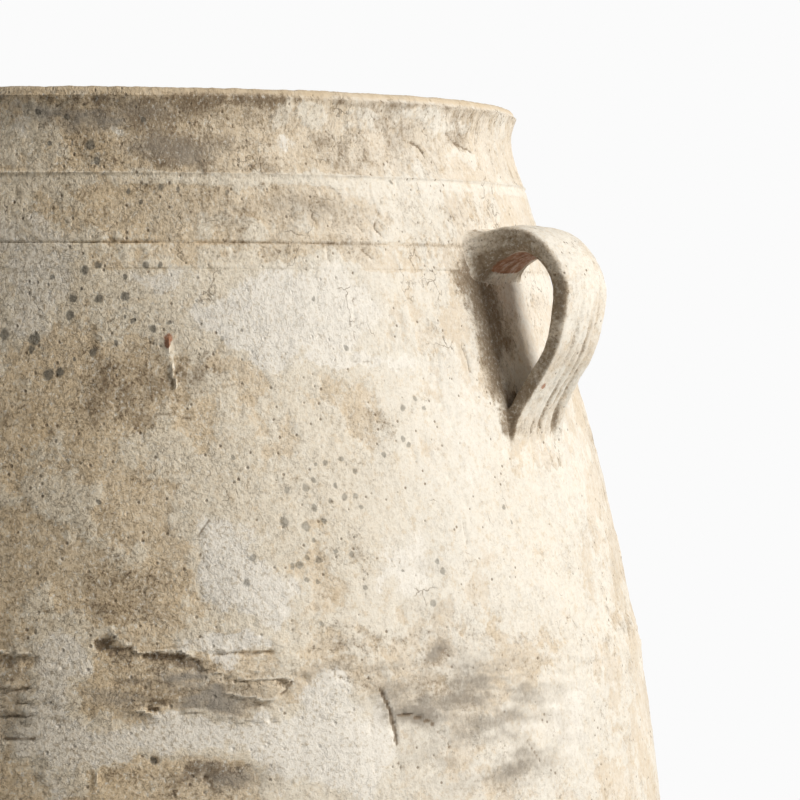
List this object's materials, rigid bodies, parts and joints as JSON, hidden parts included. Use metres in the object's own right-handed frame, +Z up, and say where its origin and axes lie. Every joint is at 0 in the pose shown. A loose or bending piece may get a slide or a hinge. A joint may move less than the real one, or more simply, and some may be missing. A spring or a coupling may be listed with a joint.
{
  "type": "olive jar",
  "caption": "Tall limewashed terracotta storage jar with a wide rounded mouth, swelling belly, luted seams and strap handles on its shoulder.",
  "frame": {"origin": "centre of the foot, on the surface that the jar stands on", "axes": "+Z up along the jar's axis, +X through the middle of one handle, -X through the other"},
  "size_m": [0.556, 0.556, 0.82],
  "materials": {
    "limewashed_clay": "matte limewash over terracotta, weathered",
    "seam_clay": "rough torn clay under limewash",
    "handle_clay": "matte limewash, chipped to terracotta",
    "bare_clay": "bare fired terracotta"
  },
  "bodies": {
    "root": {"base_slab": "limewashed_clay", "base_fillet_coil": "bare_clay", "lower_wall": "limewashed_clay", "lower_seam_coil": "seam_clay", "belly_wall": "limewashed_clay", "belly_seam_coil": "seam_clay", "shoulder_wall": "limewashed_clay", "neck_band": "limewashed_clay", "rim_collar": "limewashed_clay", "right_handle_strap": "handle_clay", "right_handle_wad": "handle_clay", "left_handle_strap": "handle_clay", "left_handle_wad": "handle_clay"}
  },
  "joints": []
}
